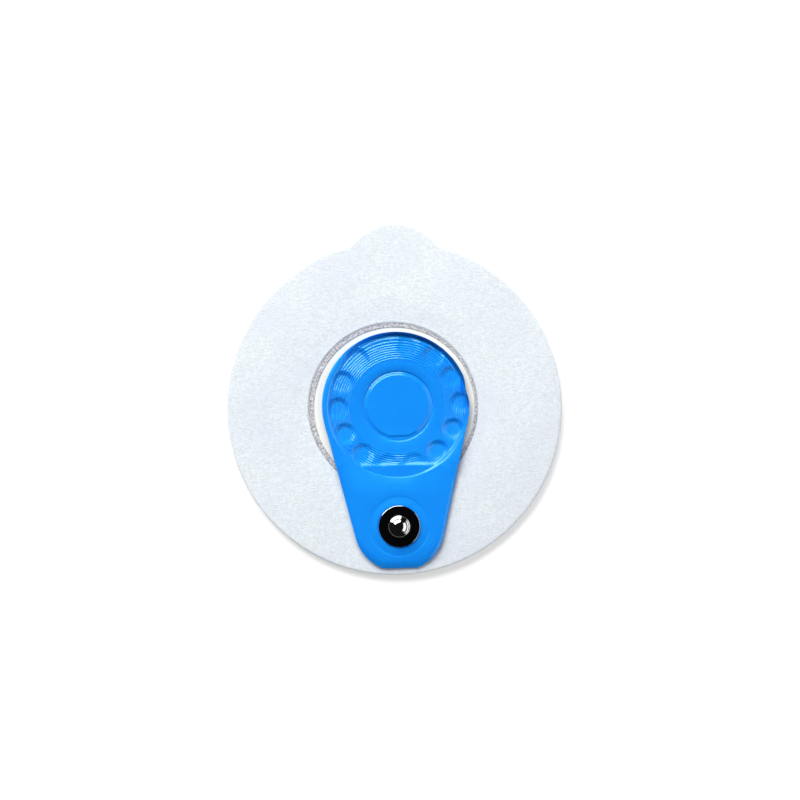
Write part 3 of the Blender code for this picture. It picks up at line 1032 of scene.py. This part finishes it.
def edge_rows(outline, section):
    """Rows round the plate's cut edge: the outline moved in along its normals, at set heights.

    Each line of the section is a spread, an inset and a height. The spread is a further inset
    that counts in full at the tongue's end, by half along the tongue and by a third on the left
    of the dish, where the edge rolls over softly. The normals are averaged over ten points.
    """
    ahead = np.roll(outline, -1, axis=0) - outline
    normal = np.stack([ahead[:, 1], -ahead[:, 0]], axis=-1)
    normal /= np.hypot(normal[:, 0], normal[:, 1])[:, None]
    normal = sum(np.roll(normal, shift, axis=0) for shift in range(-4, 6))
    normal /= np.hypot(normal[:, 0], normal[:, 1])[:, None]
    spread, inset, height = np.array(section).T[:, :, None]
    x, y = outline.T
    tongue = 0.5 * step(-11.5, -16.5, y) + 0.5 * step(-26.0, -31.0, y)
    flange = 0.35 * step(-10.0, -14.0, x) * step(-9.0, -4.0, y)
    inset = inset + spread * np.maximum(tongue, flange)
    x, y = drawn_in(x - inset * normal[:, 0], y - inset * normal[:, 1])
    return np.stack([x, y, height + np.zeros_like(x)], axis=-1)


def seat_height(radius):
    """Height of the plate's top round the snap: a pocket in a low boss, by smooth steps.

    The boss falls outwards into a faint hollow, which rises again at its end.
    """
    pocket = (SEAT_DEPTH + BOSS_HEIGHT) * (1.0 - step(4.25, 4.45, radius))
    fall = 0.13 * step(4.5, 6.0, radius) - 0.05 * step(6.0, 6.3, radius)
    return RIM_TOP + BOSS_HEIGHT - pocket - fall


def plate_skin(plate):
    """Top and underside of the plate, joined at the cut edge and in the hole of the post.

    The rows of the top lie closest at the groove, at the fine rings and at the wall.
    """
    skin = Skin()
    top_radii = np.concatenate(
        [
            [0.9, 1.8, 2.7, 3.6, 4.4, 5.0, 5.5],
            np.arange(5.8, 7.75, 0.055),
            np.arange(7.8, 9.6, 0.15),
            np.arange(9.65, 13.99, 0.051),
            np.linspace(14.0, RIM_RADIUS, 13),
        ]
    )
    top = skin.band(skin.rows(dish_rows(top_radii, 448, FLOOR_TOP, plate, True)))
    skin.fan(top[0], (DISH_X, 0.0, FLOOR_TOP))
    base_radii = np.concatenate([[2.5, 5.0, 7.5], np.linspace(8.9, RIM_RADIUS, 22)])
    base = skin.band(skin.rows(dish_rows(base_radii, 168, FLOOR_BASE, plate, False)))
    skin.fan(base[0], (DISH_X, 0.0, FLOOR_BASE))
    section = [
        (1.50, 0.060, RIM_TOP),
        (1.15, 0.055, RIM_TOP - 0.02),
        (0.80, 0.050, RIM_TOP - 0.07),
        (0.45, 0.045, RIM_TOP - 0.16),
        (0.15, 0.040, RIM_TOP - 0.25),
        (0.0, 0.030, RIM_TOP - 0.30),
        (0.0, 0.015, RIM_TOP - 0.33),
        (0.0, 0.0, RIM_TOP - 0.38),
        (0.0, 0.0, RIM_BASE - 0.20),
        (0.0, 0.015, RIM_BASE - 0.24),
        (0.0, 0.040, RIM_BASE - 0.25),
        (0.45, 0.045, RIM_BASE - 0.15),
        (1.15, 0.050, RIM_BASE),
    ]
    edge = skin.band(skin.rows(edge_rows(plate_outline(), section)))
    seat_radii = np.concatenate([[POST_HOLE, 2.6, 3.8], np.linspace(4.2, 6.3, 36)])
    seat_profile = np.stack([seat_radii, seat_height(seat_radii)], axis=-1)
    seat = skin.band(skin.rows(turned(seat_profile, 160, (0.0, -SNAP_REACH))))
    hole = skin.rows(turned([(POST_HOLE, RIM_BASE)], 160, (0.0, -SNAP_REACH)))
    skin.band(np.concatenate([hole, seat[:1]]))
    skin.web(edge[0], top[-1], seat[-1])
    skin.web(edge[-1], base[-1], hole[0])
    skin.blocks = [on_plate(block) for block in skin.blocks]
    return skin


# Snap


def base_profile():
    """Ring under the stud: recess for the foot, flat top, bevelled outer edge."""
    return rounded(
        [
            (POST_HOLE, BASE_BOTTOM + 0.2, 0.0),
            (POST_HOLE, BASE_BOTTOM, 0.0),
            (BASE_RADIUS, BASE_BOTTOM, 0.05),
            (BASE_RADIUS, BASE_TOP - 0.030, 0.01),
            (BASE_RADIUS - BEVEL, BASE_TOP, 0.015),
            (FOOT_SEAT, BASE_TOP, 0.04),
            (FOOT_SEAT, BASE_TOP - 0.12, 0.0),
            (POST_HOLE, BASE_TOP - 0.12, 0.0),
            (POST_HOLE, BASE_TOP - 0.2, 0.0),
        ],
        8,
    )


def stud_profile():
    """Hollow stud: foot, neck, round shoulder, a crease and a low domed button with a flat middle.

    Shoulder and button both fall with the square of the distance past their flat part.
    """
    widest = STUD_BOTTOM + 1.3
    share = np.linspace(0.0, 1.0, 14)
    button = np.stack([0.42 + 0.95 * share, STUD_TOP - 0.29 * share**2], axis=-1)[::-1]
    shoulder = np.stack([1.46 + 0.52 * share, STUD_TOP - 0.31 - 0.20 * share**2], axis=-1)[::-1]
    foot = rounded(
        [
            (POST_HOLE, STUD_TOP - 0.75, 0.0),
            (POST_HOLE, STUD_BOTTOM, 0.0),
            (2.2, STUD_BOTTOM, 0.02),
            (2.2, STUD_BOTTOM + 0.16, 0.12),
            (1.72, STUD_BOTTOM + 0.34, 0.1),
            (1.66, STUD_BOTTOM + 0.75, 0.1),
            (HEAD_RADIUS, STUD_BOTTOM + 1.2, 0.08),
            (HEAD_RADIUS, widest, 0.0),
        ],
        6,
    )
    turn = [(HEAD_RADIUS, widest + 0.1), (HEAD_RADIUS - 0.01, STUD_TOP - 0.54)]
    crease = [(1.42, STUD_TOP - 0.305)]
    inside, top = [(0.0, STUD_TOP - 0.75)], [(0.0, STUD_TOP)]
    return np.concatenate([inside, foot, turn, shoulder, crease, button, top])


def eyelet_profile():
    """Flanged post pressed up from below, its flange's edge rolled."""
    return rounded(
        [
            (0.0, FLANGE_BOTTOM, 0.0),
            (FLANGE_RADIUS, FLANGE_BOTTOM, 0.08),
            (FLANGE_RADIUS, FLANGE_BOTTOM + 0.2, 0.05),
            (POST_RADIUS, FLANGE_BOTTOM + 0.2, 0.03),
            (POST_RADIUS, POST_TOP, 0.15),
            (0.0, POST_TOP, 0.0),
        ],
        5,
    )


# Stage


def stage_skin():
    """Round floor that curves up into a low wall, as one turned surface."""
    rise = np.linspace(0.0, math.pi / 2, 14)
    out, up = FLOOR_BEND * np.sin(rise), FLOOR_BEND * (1.0 - np.cos(rise))
    bend = np.stack([FLOOR_RADIUS + out, up], axis=-1)
    flat = [(share * FLOOR_RADIUS, 0.0) for share in (0.1, 0.4, 0.8)]
    profile = np.concatenate([flat, bend, [(FLOOR_RADIUS + FLOOR_BEND, WALL_TOP)]])
    skin = Skin()
    rows = skin.band(skin.rows(turned(profile, 96)))
    skin.fan(rows[0], (0.0, 0.0, 0.0))
    return skin


def floor_finish():
    """White paper: it is a shade lighter where the camera and mirrors see it, shadow kept."""
    finish = Finish("white_floor")
    rays = ("Is Camera Ray", "Is Glossy Ray", "Is Transmission Ray")
    camera, glossy, through = finish.node("ShaderNodeLightPath", output=rays)
    seen = camera + glossy + through
    plain = finish.node("ShaderNodeBsdfDiffuse", None, {"Color": (0.8, 0.8, 0.8, 1.0)})
    bright = finish.node("ShaderNodeBsdfDiffuse", None, {"Color": (0.85, 0.85, 0.85, 1.0)})
    glow = finish.node("ShaderNodeEmission", None, {"Color": (1.0, 1.0, 1.0, 1.0), "Strength": 0.42})
    shown = finish.node("ShaderNodeAddShader", None, {0: bright, 1: glow})
    mixed = finish.node("ShaderNodeMixShader", None, {0: seen, 1: plain, 2: shown})
    finish.node("ShaderNodeOutputMaterial", None, {"Surface": mixed})
    return finish.material


def softbox(name, radiance, azimuth, zenith, distance, size, mirrored=True):
    """Rectangular light aimed at the origin from an azimuth and an angle from straight up.

    Its power is pi * area * radiance, so that radiance is what a mirror would show.
    """
    light = bpy.data.lights.new(name, "AREA")
    light.shape = "RECTANGLE"
    light.size, light.size_y = size
    light.energy = math.pi * size[0] * size[1] * radiance
    lamp = bpy.data.objects.new(name, light)
    turn, tilt = math.radians(azimuth), math.radians(zenith)
    spot = Vector((math.sin(tilt) * math.cos(turn), math.sin(tilt) * math.sin(turn), math.cos(tilt)))
    lamp.location = spot * distance
    lamp.rotation_euler = (tilt, 0.0, turn + math.pi / 2)
    lamp.visible_glossy = mirrored
    bpy.context.scene.collection.objects.link(lamp)


def overhead_camera(view_width):
    """Camera straight above, +Y up in the picture, with the photograph's frame."""
    camera = bpy.data.cameras.new("camera")
    camera.lens = camera.sensor_width * CAMERA_HEIGHT * MM / view_width
    camera.clip_start, camera.clip_end = 0.05, 10.0
    item = bpy.data.objects.new("camera", camera)
    item.location = Vector((*CAMERA_MIDDLE, CAMERA_HEIGHT + PATCH_TOP)) * MM
    bpy.context.scene.collection.objects.link(item)
    bpy.context.scene.camera = item


# Operators


class ELECTRODE_OT_patch(bpy.types.Operator):
    """Make the non-woven adhesive patch with its lift tab"""

    bl_idname = "electrode.patch"
    bl_label = "Adhesive patch"
    bl_options = {"REGISTER", "UNDO"}

    def execute(self, context):
        patch = context.scene.electrode_patch
        skin, area = patch_skin(patch)
        piece = skin.piece("patch_fabric", fabric_finish(patch))
        dress(piece, "fabric_patch")
        return {"FINISHED"}


class ELECTRODE_OT_pads(bpy.types.Operator):
    """Make the foam ring and the gel sponge in its bore"""

    bl_idname = "electrode.pads"
    bl_label = "Foam ring and gel sponge"
    bl_options = {"REGISTER", "UNDO"}

    def execute(self, context):
        pad = context.scene.electrode_pad
        ring = rounded(
            [
                (BORE_RADIUS, 0.8, 0.0),
                (BORE_RADIUS, 0.0, 0.15),
                (SEAM_RADIUS, 0.0, 0.15),
                (SEAM_RADIUS, RING_TOP, 0.12),
                (BORE_RADIUS, RING_TOP, 0.15),
                (BORE_RADIUS, 0.9, 0.0),
            ]
        )
        foam = turned_piece("ring_foam", foam_finish(pad), ring, 256, (0.0, 0.0))
        dress(foam, "foam_ring")
        disc = rounded(
            [
                (0.0, 0.0, 0.0),
                (GEL_RADIUS, 0.0, 0.2),
                (GEL_RADIUS, GEL_TOP, 0.2),
                (0.0, GEL_TOP, 0.0),
            ]
        )
        sponge = turned_piece("sponge_gel", gel_finish(pad), disc, 192, (0.0, 0.0))
        dress(sponge, "gel_sponge")
        return {"FINISHED"}


class ELECTRODE_OT_plate(bpy.types.Operator):
    """Make the blue plate with its dish, rings, dents and tongue"""

    bl_idname = "electrode.plate"
    bl_label = "Blue plate"
    bl_options = {"REGISTER", "UNDO"}

    def execute(self, context):
        plate = context.scene.electrode_plate
        piece = plate_skin(plate).piece("plate_blue", plate_finish(plate), 50.0)
        dress(piece, "cover_plate")
        return {"FINISHED"}


class ELECTRODE_OT_snap(bpy.types.Operator):
    """Make the stud, its black base ring and the eyelet, and finish the conductor"""

    bl_idname = "electrode.snap"
    bl_label = "Snap and conductor"
    bl_options = {"REGISTER", "UNDO"}

    def execute(self, context):
        snap = context.scene.electrode_snap
        base = turned_piece("base_black", black_finish(snap), base_profile(), 192, SNAP)
        dress(base, "snap_base")
        nickel = metal_finish("bright_nickel", tuple(snap.metal_colour), 0.03, 0.0015)
        stud = turned_piece("stud_nickel", nickel, stud_profile(), 192, SNAP)
        dress(stud, "snap_stud")
        brass = metal_finish("silvered_brass", BRASS, 0.2)
        eyelet = turned_piece("eyelet_brass", brass, eyelet_profile(), 128, SNAP)
        dress(eyelet, "snap_eyelet")
        finishes = {
            "conductor_strip": silver_finish("silver_strip", STRIP_SILVER, 0.25, 0.3),
            "sensor_disc": silver_finish("silver_chloride", DISC_SILVER, 0.5, 0.8),
        }
        for node, material in finishes.items():
            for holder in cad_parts[node].material_slots:
                holder.material = material
        return {"FINISHED"}


class ELECTRODE_OT_stage(bpy.types.Operator):
    """Make the white floor, the soft lights and the camera above"""

    bl_idname = "electrode.stage"
    bl_label = "Floor, lights and camera"
    bl_options = {"REGISTER", "UNDO"}

    def execute(self, context):
        stage = context.scene.electrode_stage
        stage_skin().piece("white_floor", floor_finish())
        softbox("key_light", stage.key, azimuth=116, zenith=53, distance=1.0, size=(0.95, 0.8))
        softbox("side_light", stage.side, azimuth=-8, zenith=45, distance=0.95, size=(1.2, 0.5))
        above = {"azimuth": 100, "zenith": 12, "distance": 1.4, "size": (1.6, 1.6)}
        softbox("overhead_fill", stage.overhead, mirrored=False, **above)
        world = bpy.data.worlds.new("dim_room")
        world.use_nodes = True
        world.node_tree.nodes["Background"].inputs["Color"].default_value = (0.01, 0.01, 0.01, 1.0)
        context.scene.world = world
        context.scene.view_settings.view_transform = "Standard"
        overhead_camera(stage.view_width)
        return {"FINISHED"}


OPERATORS = (
    ELECTRODE_OT_patch,
    ELECTRODE_OT_pads,
    ELECTRODE_OT_plate,
    ELECTRODE_OT_snap,
    ELECTRODE_OT_stage,
)


class ELECTRODE_PT_panel(bpy.types.Panel):
    """Sizes, colours and buttons of the electrode"""

    bl_idname = "ELECTRODE_PT_panel"
    bl_label = "ECG electrode"
    bl_space_type = "VIEW_3D"
    bl_region_type = "UI"
    bl_category = "Electrode"

    def draw(self, context):
        for name, operator in zip(SETTINGS, OPERATORS):
            group = getattr(context.scene, name)
            box = self.layout.box()
            for key in group.bl_rna.properties.keys():
                if key not in ("rna_type", "name"):
                    box.prop(group, key)
            box.operator(operator.bl_idname)


def register():
    for item in (*SETTINGS.values(), *OPERATORS, ELECTRODE_PT_panel):
        bpy.utils.register_class(item)
    for name, group in SETTINGS.items():
        setattr(bpy.types.Scene, name, bpy.props.PointerProperty(type=group))


def unregister():
    for name in SETTINGS:
        delattr(bpy.types.Scene, name)
    for item in (ELECTRODE_PT_panel, *reversed(OPERATORS), *reversed(SETTINGS.values())):
        bpy.utils.unregister_class(item)


def main():
    """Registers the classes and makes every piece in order."""
    register()
    bpy.ops.electrode.patch()
    bpy.ops.electrode.pads()
    bpy.ops.electrode.plate()
    bpy.ops.electrode.snap()
    bpy.ops.electrode.stage()
    bpy.context.view_layer.update()


if __name__ == "__main__":
    main()
